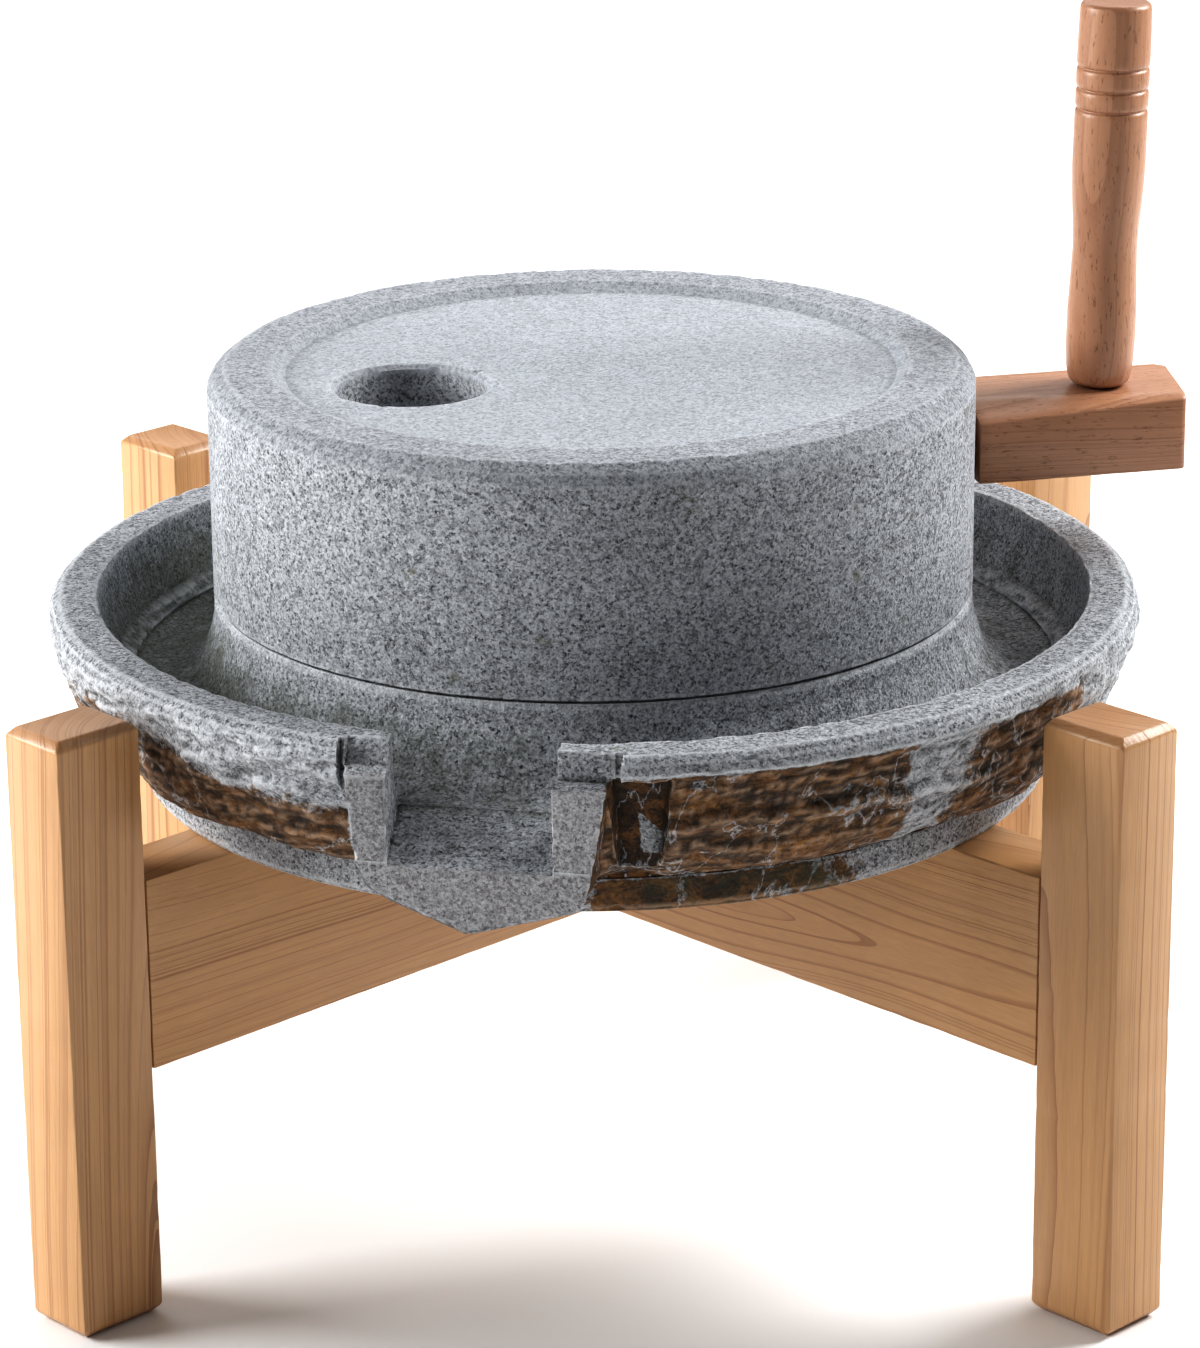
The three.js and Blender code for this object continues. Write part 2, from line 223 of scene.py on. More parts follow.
def crystals(finish, where, size, dark):
    wander = finish.node("ShaderNodeTexNoise", {}, {
        "Vector": where, "Scale": 0.7 / size, "Detail": 2}, out="Color")
    offset = finish.stretch(wander, (size * 1.3,) * 3)
    bent = finish.shift(where, offset)
    cells = finish.node("ShaderNodeTexVoronoi", {}, {"Vector": bent, "Scale": 1 / size}, out="Color")
    chance = finish.node("ShaderNodeSeparateColor", {}, {0: cells})
    stops = [(0, MICA), (dark, MICA), (dark + 0.07, QUARTZ), (dark + 0.24, QUARTZ),
             (dark + 0.34, FELDSPAR), (0.86, FELDSPAR), (1, CHALK)]
    return finish.node("ShaderNodeValToRGB", {"stops": stops}, {0: chance}), chance


def granite(finish, where, dark=0.13):
    coarse, chance = crystals(finish, where, CRYSTAL, dark)
    fine, _ = crystals(finish, where, FINE_CRYSTAL, dark * 0.9)
    body = finish.mix(0.5, coarse, fine)
    clumps = finish.between(finish.cloud(where, 0.0036, 5, 0.75), 0.47, 0.36)
    body = finish.mix(clumps * 0.42, body, CLUMP)
    tone = finish.cloud(where, 0.05, 4, 0.62)
    body = finish.mix(1, body, finish.grey(tone * 0.5 + 0.74), "MULTIPLY")
    return body, chance


# %% [markdown]
# The runner stone was turned on a lathe: fine rings run round the shallow dish, and a few faint
# lines run round its side. The dish is paler, because meal and the hand have rubbed it clean.
# Distance from the axis tells the finish where it is on the stone.

# %% Runner finish
DISH_RADIUS = 0.1035
RING_PITCH = 0.0021
RUBBED_DISH = paint(172, 177, 185)
FLAT_RIM_TONE = paint(136, 141, 148)
LICHEN = paint(96, 98, 72)
PAINTED_CORNER_SHADE = paint(70, 76, 70)
RUBBED_EDGE = paint(214, 217, 222)
PAINTED_SEAM_SHADOW = paint(34, 35, 30)
RING_SHADE = paint(128, 138, 146)


def from_axis(finish, where):
    centred = finish.shift(where, -MILL_AXIS)
    flat = finish.stretch(centred, (1, 1, 0))
    return finish.node("ShaderNodeVectorMath", {"operation": "LENGTH"}, {0: flat}, out="Value")


def height_of(finish, where):
    return finish.node("ShaderNodeSeparateXYZ", {}, {0: where}, out="Z")


def runner_finish():
    finish = Finish("granite_runner")
    where = finish.place()
    radius = from_axis(finish, where)
    height = height_of(finish, where)
    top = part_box("runner_stone")[1].z
    on_top = finish.between(height, top - 0.0075, top - 0.0055)
    in_dish = finish.between(radius, DISH_RADIUS + 0.0005, DISH_RADIUS - 0.0015) * on_top
    stone, chance = granite(finish, where, 0.125)
    pale = finish.mix(in_dish * 0.45, stone, RUBBED_DISH)
    rim = on_top * (1 - in_dish)
    pale = finish.mix(rim * 0.30, pale, FLAT_RIM_TONE)
    lichen = finish.between(finish.cloud(where, 0.011, 4, 0.6), 0.645, 0.72) * (1 - on_top)
    colour = finish.mix(lichen * 0.55, pale, LICHEN)
    # Inner corners are darkened: painted shade.
    hollow = finish.attribute("hollow")
    colour = finish.mix(hollow * 0.5, colour, PAINTED_CORNER_SHADE)
    edge = finish.attribute("edge")
    colour = finish.mix(edge * 0.35, colour, RUBBED_EDGE)
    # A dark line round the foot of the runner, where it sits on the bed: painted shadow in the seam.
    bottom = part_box("runner_stone")[0].z
    uneven = height + (finish.cloud(where, 0.006, 3) - 0.5) * 0.0012
    seam_shadow = finish.between(uneven, bottom + 0.0011, bottom + 0.0004)
    colour = finish.mix(seam_shadow * 0.9, colour, PAINTED_SEAM_SHADOW)
    rings = (radius * (math.tau / RING_PITCH)).maths("SINE", radius * (math.tau / RING_PITCH))
    fade = finish.between(radius, 0.062, 0.008) * in_dish
    lines = finish.cloud(finish.stretch(where, (0.02, 0.02, 1)), 0.0016, 2)
    grain = finish.cloud(where, 0.0009, 3, 0.7)
    relief = rings * fade * 0.45 + grain * 0.9 + chance * 0.35 + lines * (1 - on_top) * 0.7
    colour = finish.mix(finish.between(rings, 0.3, 1) * fade * 0.22, colour, RING_SHADE)
    return finish.close(colour, grain * 0.18 + 0.74, relief, 0.00035, 0.85)


RUNNER_FINISH = runner_finish()
print("runner finish nodes:", len(RUNNER_FINISH.node_tree.nodes))

# %% [markdown]
# The tray keeps the history of the block. Its outside was split, not sawn, so the natural iron
# stain of the joint in the rock is still there as rust brown and gold. Inside, the channel is
# painted olive, partly damp stain and partly painted shade, and a little moss sits in the spout.
# The mesh carries these regions as named attributes, and the finish only breaks up their borders
# with noise.

# %% Tray finish
RUST_STOPS = [
    (0.38, paint(40, 25, 12)), (0.46, paint(58, 38, 18)), (0.53, paint(104, 70, 32)),
    (0.60, paint(132, 90, 42)), (0.70, paint(182, 134, 72)),
]
GOLD = RUST_STOPS[-1][1]
IRON = paint(40, 30, 18)
OLIVE_DAMP_AND_SHADE = paint(74, 80, 62)
MOSS = paint(98, 104, 52)
SAWN = paint(156, 148, 146)
PAINTED_HOLLOW_SHADE = paint(50, 44, 32)
FRESH_EDGE = paint(222, 225, 228)


def tray_finish():
    finish = Finish("granite_tray")
    where = finish.place()
    stone, chance = granite(finish, where, 0.15)
    hollow = finish.attribute("hollow")
    edge = finish.attribute("edge")
    rough = finish.cloud(where, 0.0024, 5, 0.75)
    patch = finish.cloud(where, 0.012, 5, 0.7)

    layered = finish.stretch(where, (1, 1, 1.7))
    streak = finish.cloud(layered, 0.016, 9, 0.78, 1.2)
    stain = finish.node("ShaderNodeValToRGB", {"stops": RUST_STOPS}, {0: streak})
    stain = finish.mix(edge * 0.6, stain, GOLD)
    stain = finish.mix(finish.between(chance, 0.26, 0.12) * 0.5, stain, IRON)
    broken_up = (patch - 0.5) * 1.5 + (rough - 0.5) * 0.9
    rust = finish.between(finish.attribute("rust") + broken_up, 0.36, 0.56)
    wander = finish.cloud(finish.stretch(where, (1, 1, 0.6)), 0.03, 5, 0.62, 0.5) - 0.5
    veins = finish.between(wander.maths("ABSOLUTE", wander), 0.012, 0.004)
    rust = rust * (1 - veins * 0.7)
    colour = finish.mix(rust * 0.95, stone, stain)

    # This olive mask is partly damp stain and partly painted shade, in the channel and on the front of
    # the foot ring.
    damp_and_shade_border = (patch - 0.5) * 1.2 + (rough - 0.5) * 0.8
    damp = finish.between(finish.attribute("damp") + damp_and_shade_border, 0.4, 0.75)
    colour = finish.mix(damp * 0.62, colour, OLIVE_DAMP_AND_SHADE)
    moss_border = (rough - 0.5) * 1.6 + (patch - 0.5) * 0.8
    moss = finish.between(finish.attribute("moss") + moss_border, 0.62, 0.8)
    colour = finish.mix(moss * 0.72, colour, MOSS)
    sawn = finish.attribute("sawn")
    colour = finish.mix(sawn * 0.30, colour, SAWN)
    # Hollows and inner corners of the hewn stone are darkened: painted shade.
    colour = finish.mix(hollow * 0.6, colour, PAINTED_HOLLOW_SHADE)
    colour = finish.mix(edge * (1 - rust * 0.75) * 0.6, colour, FRESH_EDGE)
    relief = rough * 0.9 + chance * 0.3 + finish.cloud(where, 0.0009, 3, 0.7) * 0.8
    return finish.close(colour, rough * 0.2 + 0.74, relief, 0.0005, 0.9)


TRAY_FINISH = tray_finish()
print("tray finish nodes:", len(TRAY_FINISH.node_tree.nodes))

# %% [markdown]
# Wood is a stack of yearly cones round a pith, so one rule gives every face of a board its right
# pattern: take the distance from the pith line, and let each year run from pale early wood to a
# darker late line. Boards whose pith is far away show straight lines; a tilted pith gives the
# arched pattern on the wide rails; and the ends show arcs without any extra work.

# %% Wood finish
PINE_EARLY = paint(200, 158, 115)
PINE_LATE = paint(142, 92, 56)
RAY_FLECK = paint(104, 62, 40)


def timber(name, grain_turn, pith, year, early, late, waviness=0.003, line=5.0, fibre=0.10,
           fleck=0.0, contrast=0.85):
    """`grain_turn` turns X to the grain; `pith` is a point on the pith line, in metres."""
    finish = Finish(name)
    where = finish.place()
    local = finish.node("ShaderNodeMapping", {"vector_type": "TEXTURE"}, {
        "Vector": where, "Location": pith, "Rotation": grain_turn})
    drift = finish.node("ShaderNodeTexNoise", {}, {
        "Vector": finish.stretch(local, (3.2, 13, 13)), "Scale": 1, "Detail": 2}, out="Color")
    sway = finish.stretch(finish.shift(drift, (-0.5,) * 3), (0, waviness * 6, waviness * 6))
    swayed = finish.shift(local, sway)
    across = finish.stretch(swayed, (0, 1, 1))
    distance = finish.node("ShaderNodeVectorMath", {"operation": "LENGTH"}, {0: across}, out="Value")
    slow = finish.node("ShaderNodeTexNoise", {"noise_dimensions": "1D"}, {
        "W": distance * 90, "Detail": 1})
    years = distance / year + slow * 2.2
    season = years.maths("FRACT", years)
    ring = season ** line
    thin = finish.stretch(local, (0.035, 1, 1))
    fibres = finish.cloud(thin, 0.0006, 3, 0.7)
    broad = finish.cloud(finish.stretch(local, (0.2, 1, 1)), 0.012, 3)
    strength = finish.between(slow, 0.2, 0.7) * 0.5 + 0.5
    colour = finish.mix(ring * contrast * strength, early, late)
    shade = (fibres - 0.5) * (fibre * 4) + (broad - 0.5) * 0.26 + 1.0
    colour = finish.mix(1, colour, finish.grey(shade), "MULTIPLY")
    if fleck:
        rays = finish.cloud(finish.stretch(local, (0.22, 1, 1)), 0.00085, 2, 0.6)
        colour = finish.mix(finish.between(rays, 0.60, 0.70) * fleck, colour, RAY_FLECK)
    end = finish.attribute("end_grain")
    colour = finish.mix(end * 0.45, colour, late)
    rub = finish.attribute("edge")
    colour = finish.mix(rub * 0.25, colour, early)
    height = fibres * 0.5 + ring * 0.6
    return finish.close(colour, fibres * 0.16 + 0.26, height, 0.00018, 0.6)


# %% [markdown]
# A few bench tools serve every piece. `lathe` spins an outline round the axis, `sawn_block` starts
# from a cube, and `slice_up` gives a plain face enough vertices to take wear. `carve` joins or cuts
# one closed solid with another. All of them work in millimetres.

# %% Bench tools
def paced(outline):
    """Points along an outline of (radius, height, pace), no further apart than each pace."""
    points = [Vector(outline[0][:2])]
    for (r0, z0, pace), (r1, z1, _) in zip(outline, outline[1:]):
        start, end = Vector((r0, z0)), Vector((r1, z1))
        parts = max(1, math.ceil((end - start).length / pace))
        points += [start.lerp(end, k / parts) for k in range(1, parts + 1)]
    return points


def softened(points, rounds):
    """Rounds the corners of a run of points; its two ends stay."""
    for _ in range(rounds):
        points = [points[0]] + [
            (a + 2 * b + c) / 4 for a, b, c in zip(points, points[1:], points[2:])
        ] + [points[-1]]
    return points


def lathe(points, steps):
    """Spins a small part of the turn, then doubles it until it closes: quicker than one long spin."""
    shape = bmesh.new()
    verts = [shape.verts.new((r, 0, z)) for r, z in points]
    edges = [shape.edges.new(pair) for pair in zip(verts, verts[1:])]
    doublings = 4
    parts = 2 ** doublings
    part = math.tau / parts
    bmesh.ops.spin(shape, geom=verts + edges, cent=(0, 0, 0), axis=(0, 0, 1), angle=part,
                   steps=steps // parts)
    for _ in range(doublings):
        everything = list(shape.verts) + list(shape.edges) + list(shape.faces)
        copied = bmesh.ops.duplicate(shape, geom=everything)["geom"]
        verts = [item for item in copied if isinstance(item, bmesh.types.BMVert)]
        bmesh.ops.rotate(shape, cent=(0, 0, 0), matrix=Matrix.Rotation(part, 3, "Z"), verts=verts)
        part *= 2
    bmesh.ops.remove_doubles(shape, verts=shape.verts, dist=1e-3)
    bmesh.ops.recalc_face_normals(shape, faces=shape.faces)
    return shape


def sawn_block(low, high):
    shape = bmesh.new()
    low, high = Vector(low), Vector(high)
    bmesh.ops.create_cube(shape, size=1)
    bmesh.ops.scale(shape, vec=high - low, verts=shape.verts)
    bmesh.ops.translate(shape, vec=(low + high) / 2, verts=shape.verts)
    return shape


def prism(outline, direction):
    """Raises a flat face through the given corners by a direction vector."""
    shape = bmesh.new()
    face = shape.faces.new([shape.verts.new(corner) for corner in outline])
    raised = bmesh.ops.extrude_face_region(shape, geom=[face])["geom"]
    moved = [part for part in raised if isinstance(part, bmesh.types.BMVert)]
    bmesh.ops.translate(shape, vec=direction, verts=moved)
    bmesh.ops.recalc_face_normals(shape, faces=shape.faces)
    return shape


def slice_up(shape, pace, axes="XYZ"):
    for axis in axes:
        way = Vector([1.0 if axis == name else 0.0 for name in "XYZ"])
        reach = [way.dot(v.co) for v in shape.verts]
        count = math.floor((max(reach) - min(reach)) / pace)
        for k in range(1, count + 1):
            place = way * (min(reach) + k * (max(reach) - min(reach)) / (count + 1))
            parts = list(shape.verts) + list(shape.edges) + list(shape.faces)
            bmesh.ops.bisect_plane(shape, geom=parts, dist=1e-4, plane_co=place, plane_no=way)
    return shape


def as_object(shape, name):
    mesh = bpy.data.meshes.new(name)
    shape.to_mesh(mesh)
    shape.free()
    made = bpy.data.objects.new(name, mesh)
    bpy.context.scene.collection.objects.link(made)
    return made


def carve(shape, tool, how):
    """Joins (UNION) or cuts (DIFFERENCE) one closed solid with another and returns the result."""
    body, knife = as_object(shape, "body"), as_object(tool, "knife")
    step = body.modifiers.new("carve", "BOOLEAN")
    step.operation = how
    step.solver = "MANIFOLD"
    step.object = knife
    graph = bpy.context.evaluated_depsgraph_get()
    result = bmesh.new()
    result.from_object(body, graph)
    for used in (body, knife):
        mesh = used.data
        bpy.data.objects.remove(used)
        bpy.data.meshes.remove(mesh)
    return result


def turned_about_axis(shape, angle):
    bmesh.ops.rotate(shape, cent=(0, 0, 0), matrix=Matrix.Rotation(angle, 3, "Z"), verts=shape.verts)
    return shape


# %% [markdown]
# Wear is the same on every edge in the workshop: what stands proud gets rubbed or chipped. The
# angle between the faces round a vertex tells how sharp it is, so `sharpness` finds the edges
# without being told where they are, and `weather` sinks each vertex by a small amount.

# %% Wear and setting down
def sharpness(vertex):
    """Above 0 where the surface turns round a convex edge, below 0 in an inner corner."""
    return sum(edge.calc_face_angle_signed(0) for edge in vertex.link_edges) / len(vertex.link_edges)


def weather(shape, depth):
    shape.normal_update()
    hollow = shape.verts.layers.float.get("hollow") or shape.verts.layers.float.new("hollow")
    edge = shape.verts.layers.float.get("edge") or shape.verts.layers.float.new("edge")
    moves = []
    for vertex in shape.verts:
        sharp = sharpness(vertex)
        moves.append(vertex.normal * depth(vertex, sharp))
        vertex[edge] = max(0, min(1, sharp * 2.2))
        # The hollow mask marks inner corners, which the finishes darken as painted shade.
        vertex[hollow] = max(0, min(1, -sharp * 1.6))
    for vertex, move in zip(shape.verts, moves):
        vertex.co -= move
    shape.normal_update()
    return shape


def set_down(shape, name, body, node, finish, centre=MILL_AXIS, sharp_from=38):
    """Turns a finished bmesh into a piece in metres that stands for its CAD node."""
    bmesh.ops.scale(shape, vec=(1 / MILLIMETRES,) * 3, verts=shape.verts)
    bmesh.ops.translate(shape, vec=centre, verts=shape.verts)
    made = as_object(shape, name)
    made.data.shade_smooth()
    made.data.set_sharp_from_angle(angle=math.radians(sharp_from))
    made.data.materials.append(finish)
    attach(made, body)
    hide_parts(node)
    made.data.calc_loop_triangles()
    print(name, "-", len(made.data.loop_triangles), "triangles")
    return made


def lump(place, size, seed=0):
    """Soft noise from -1 to 1 with lumps about `size` across."""
    return noise.noise(Vector(place) / size + Vector((seed, 2 * seed, -seed)))


# %% [markdown]
# The runner stone is one lathe outline: a chamfered foot, an upright side, a shoulder that the
# mason chamfered, a flat rim, and a shallow dish. The eye is cut right through, and a mortise in
# the side takes the handle's tongue. Lathe work leaves the side very slightly wavy.

# %% Runner stone
RUNNER_RADIUS = 125
SHOULDER_DROP = 6.2
FLAT_RIM = 119.3
DISH_DEPTH = 3.2
DISH_WALL = 4.5
EYE_RADIUS = 24.6
EYE_CHAMFER = 1.6
EYE_FROM_AXIS = 60.6
EYE_TURN = math.radians(198.3)
BLOCK_TURN = math.radians(13.9)
TONGUE_LENGTH = 22
TONGUE_HALF_WIDTH = 9
TONGUE_HALF_HEIGHT = 8
GAP = 0.3


def tongue(growth, middle):
    half = TONGUE_HALF_WIDTH + growth
    rise = TONGUE_HALF_HEIGHT + growth
    start = RUNNER_RADIUS - TONGUE_LENGTH - growth
    return sawn_block((start, -half, middle - rise), (RUNNER_RADIUS + 5, half, middle + rise))


def runner_stone():
    bottom, top = (corner.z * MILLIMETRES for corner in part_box("runner_stone"))
    block_low, block_high = (corner.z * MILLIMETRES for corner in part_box("handle_block"))
    floor = top - DISH_DEPTH
    dish = DISH_RADIUS * MILLIMETRES
    outline = [
        (0, bottom, 30), (RUNNER_RADIUS - 1, bottom, 0.6), (RUNNER_RADIUS, bottom + 1, 1.8),
        (RUNNER_RADIUS, top - SHOULDER_DROP, 0.9), (RUNNER_RADIUS - 1.8, top - 3, 0.9),
        (FLAT_RIM, top, 1.8), (dish, top, 0.9), (dish - DISH_WALL, floor, 2.4), (0, floor, 1),
    ]
    stone = lathe(paced(outline), 480)
    eye = lathe(paced([
        (0, bottom - 1, 40), (EYE_RADIUS, bottom - 1, 2), (EYE_RADIUS, floor - EYE_CHAMFER, 0.8),
        (EYE_RADIUS + EYE_CHAMFER, floor, 1), (EYE_RADIUS + 1.9, top + 1, 40), (0, top + 1, 1),
    ]), 128)
    place = (EYE_FROM_AXIS * math.cos(EYE_TURN), EYE_FROM_AXIS * math.sin(EYE_TURN), 0)
    bmesh.ops.translate(eye, vec=place, verts=eye.verts)
    stone = carve(stone, eye, "DIFFERENCE")
    socket = turned_about_axis(tongue(GAP, (block_low + block_high) / 2), BLOCK_TURN)
    stone = carve(stone, socket, "DIFFERENCE")

    def depth(vertex, sharp):
        place = vertex.co
        wave = 0.10 + 0.10 * lump(place, 22) + 0.05 * lump(place, 3)
        nick = max(0, lump(place, 4.5, 3) - 0.12) * max(0, min(1, sharp * 3)) * 1.8
        return wave + nick

    weather(stone, depth)
    return set_down(stone, "runner_stone_turned", "runner", "runner_stone",
                    RUNNER_FINISH)


RUNNER = runner_stone()

# %% [markdown]
# Bed stone and tray are one block. The lathe outline gives the foot ring, the fullest line of the
# hewn side, the rim, the round channel and the cove up to the bed. Then the side is broken back:
# broad flats first, then layered ridges, then small spalls.

# %% Tray outline and hewing
FOOT_TOP = 159.5
FOOT_RADIUS = 150.5
RIM_INNER = 162.4
RIM_OUTER = 176
CHANNEL_FLOOR = 179.5
HEWN_REACH = 3.2
SPOUT_TURN = math.radians(259.8)
SPOUT_HALF = 41
RECESS_LEFT = 2.5
RECESS_RIGHT = 3
RECESS_SPREAD = 0.11
TRAY_STEPS = 640
FOOT_BOTTOM, RIM_TOP = (corner.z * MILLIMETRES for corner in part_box("bed_and_tray"))
BED_TOP = 206.3


def tray_outline():
    """(radius, height, pace) up the outside, over the rim and down into the channel."""
    foot = [
        (0, FOOT_BOTTOM, 25), (FOOT_RADIUS - 1.2, FOOT_BOTTOM, 1),
        (FOOT_RADIUS, FOOT_BOTTOM + 1.2, 1.8), (FOOT_RADIUS, FOOT_TOP, 1.8),
        (157.5, FOOT_TOP + 0.8, 1.5),
    ]
    hewn = [
        foot[-1], (164.5, 164.5, 1.5), (170.5, 172, 1.5), (174, 180, 1.5), (177.2, 188, 1.5),
        (179.6, 195.5, 1.5), (180, 202, 1.1), (178.4, 205.6, 1.1),
    ]
    rim = [(178.4, 205.6, 1.0), (RIM_OUTER - 0.6, RIM_TOP, 1.5), (RIM_INNER + 1, RIM_TOP, 0.8)]
    wall = [
        rim[-1], (RIM_INNER, RIM_TOP - 1, 1.7), (RIM_INNER - 1.4, 196, 1.7),
        (RIM_INNER - 4.8, 185.5, 1.7), (RIM_INNER - 10.3, 180.4, 1.7),
        (RIM_INNER - 16, CHANNEL_FLOOR, 1.7), (138.5, CHANNEL_FLOOR, 1.7), (133.4, 180.9, 1.7),
        (129.4, 184.5, 1.7), (126.6, 193, 1.7), (RUNNER_RADIUS, 200, 1.7),
        (RUNNER_RADIUS, BED_TOP - 1, 0.8), (RUNNER_RADIUS - 1, BED_TOP, 1),
    ]
    bed = [(RUNNER_RADIUS - 1, BED_TOP, 25), (0, BED_TOP, 1)]
    runs = [paced(foot), softened(paced(hewn), 2), paced(rim), softened(paced(wall), 1), paced(bed)]
    points = runs[0]
    for run in runs[1:]:
        points += run[1:]
    return points


def angle_between(angle, other):
    return math.atan2(math.sin(angle - other), math.cos(angle - other))


def swell(value, low, high):
    """0 to 1 as value goes from low to high, with eased ends."""
    part = max(0, min(1, (value - low) / (high - low)))
    return part * part * (3 - 2 * part)


def band_here(angle):
    """1 on the front right, where a turned band is left below the rim, and 0 elsewhere."""
    turn = math.degrees(angle_between(angle, math.radians(-90)))
    return swell(turn, 2, 6) * (1 - swell(turn, 44, 56))


def hewn_cut(place, angle):
    """How far the split side falls back from its fullest line."""
    height = place.z
    down = (RIM_TOP - height) / (RIM_TOP - FOOT_TOP)
    opened = min(1, 2.2 * down)
    flats = abs(math.sin(5.5 * angle + 0.9 * math.sin(2 * angle) + 2.2 * down))
    lumps = 0.5 + 0.5 * math.sin(17 * angle + 5 * down + 2 * math.sin(3 * angle))
    broad = HEWN_REACH * opened * (0.65 * (1 - flats) + 0.35 * lumps)

    layered = Vector((place.x / 24, place.y / 24, place.z / 9))
    ridge = noise.ridged_multi_fractal(layered, 0.9, 2.1, 5, 1.0, 2.0, noise_basis="PERLIN_ORIGINAL")
    strike = Vector((place.x / 13, place.y / 13, place.z / 10 + 0.12 * angle))
    spall = noise.voronoi(strike)[0]
    chips = max(0, spall[1] - spall[0])
    fine = noise.fractal(Vector(place) / 5, 0.8, 2.0, 4)
    below = swell(down, 0.02, 0.16)
    rough = below * (1.7 * (1.1 - min(1.6, ridge)) + 1.9 * (0.42 - min(0.42, chips)) + 0.8 * fine)
    band = band_here(angle)
    under_band = swell(height, 201.6, 200.4)
    strayed = noise.noise(Vector((place.x / 14, place.y / 14, 3)))
    split = 180.5 + 2.4 * math.sin(4.3 * angle + 0.6) + 2.6 * strayed
    belly = 2.4 * swell(height, split, split + 5) * swell(height, 200.8, 196)
    tuck = 2.2 * swell(split - height, -0.5, 3.5)
    beside_band = 1 - band * (1 - under_band)
    flaked = broad * beside_band * (1 - 0.6 * band) + rough * beside_band
    return flaked + band * under_band * (1.2 + belly + tuck) + 0.2


def spout_recess(angle, height):
    turn = angle_between(angle, SPOUT_TURN)
    deep = RECESS_RIGHT if turn > 0 else RECESS_LEFT
    near = max(0, 1 - abs(abs(turn) - SPOUT_HALF / RIM_OUTER) / RECESS_SPREAD)
    return deep * near * max(0, min(1, (RIM_TOP - 4 - height) / 14))


def hew(shape):
    for vertex in shape.verts:
        x, y, z = vertex.co
        radius = math.hypot(x, y)
        inside_the_rim = radius < RIM_INNER + 2 and z > 185
        on_hewn_side = radius >= FOOT_RADIUS + 2 and FOOT_TOP + 0.3 < z < RIM_TOP - 0.9
        if inside_the_rim or not on_hewn_side:
            continue
        angle = math.atan2(y, x)
        cut = hewn_cut(vertex.co, angle) + spout_recess(angle, z)
        scale = max(radius - max(0, cut), FOOT_RADIUS + 1) / radius
        vertex.co = (x * scale, y * scale, z)
    return shape


blank = hew(lathe(tray_outline(), TRAY_STEPS))
print("tray blank:", len(blank.verts), "vertices")

# %% [markdown]
# The spout was sawn out of the same block. It is drawn pointing along X as a keel-shaped prism,
# turned to its place and joined to the blank. Saw cuts then free its cheeks, and the ledges are
# taken down: a square step on the right, a sloping face and a step on the left. The opening's floor
# falls from the channel to the lip, so that meal slides out, and its left wall opens out inwards.
# Right of it the rock came off almost to the foot. The tools are sliced up first, because a cut
# face keeps the vertices of the tool that made it.

# %% Spout
SPOUT_FACE = 177.3
OPENING_LEFT = -28.2
OPENING_RIGHT = 22
FLARE = 0.1
SPOUT_LIP = 171.2
RAMP_START = 146
BEYOND = SPOUT_FACE + 9          # where cutting tools stop, clear of the stone
LEDGE_TOP = 198.5
LEDGE_BACK = 168.6
KERF_WIDTH = 2.2
KEEL_START = FOOT_RADIUS - 12
CHEEK_START = RIM_INNER + 3


def spout_outline(start, top):
    keel = [(-38.5, 171), (-35, 164), (-28, 160), (-18, 156), (-4, 150.4), (13, 155), (29.5, 159.5),
            (32.5, 163.5), (36, 180)]
    corners = [(SPOUT_HALF - 1, top), (-SPOUT_HALF - 1, top)] + keel
    return [(start, sideways, up) for sideways, up in corners]


def spout_opening():
    """The space between the cheeks, as one many-sided tool with a floor that falls to the lip."""
    beyond = SPOUT_FACE + 4
    fall = (CHANNEL_FLOOR - SPOUT_LIP) / (SPOUT_FACE - RAMP_START)
    ramp = prism([
        (RAMP_START, -60, CHANNEL_FLOOR), (beyond, -60, SPOUT_LIP - 4 * fall),
        (beyond, -60, RIM_TOP + 4), (RAMP_START, -60, RIM_TOP + 4),
    ], (0, 120, 0))
    plan = prism([
        (RAMP_START, OPENING_LEFT - FLARE * (SPOUT_FACE - RAMP_START), 160),
        (beyond, OPENING_LEFT + 4 * FLARE, 160), (beyond, OPENING_RIGHT, 160),
        (RAMP_START, OPENING_RIGHT + 0.6, 160),
    ], (0, 0, RIM_TOP - 156))
    return carve(ramp, plan, "INTERSECT")


def over_ledges():
    """What is taken off above the two cheeks."""
    right = sawn_block((LEDGE_BACK, 0, LEDGE_TOP), (BEYOND, SPOUT_HALF - 1, RIM_TOP + 2))
    start = -SPOUT_HALF - 1
    left = prism([
        (163.7, start, RIM_TOP + 2), (171.5, start, 201.2), (BEYOND, start, 196.6),
        (BEYOND, start, RIM_TOP + 2),
    ], (0, -start, 0))
    return carve(left, right, "UNION")


def broken_away():
    """The rock that came off right of the spout."""
    depth = prism([
        (165.5, 20, 199.6), (157.4, 20, 186), (153, 20, 173), (152.4, 20, FOOT_TOP + 1.6),
        (200, 20, FOOT_TOP + 1.6), (200, 20, 199.6),
    ], (0, 60, 0))
    start = SPOUT_HALF - 2.5
    plan = prism([
        (140, start, FOOT_TOP), (200, start, FOOT_TOP), (200, 70, FOOT_TOP), (171, 58, FOOT_TOP),
        (150, 49, FOOT_TOP),
    ], (0, 0, RIM_TOP - FOOT_TOP))
    return carve(depth, plan, "INTERSECT")


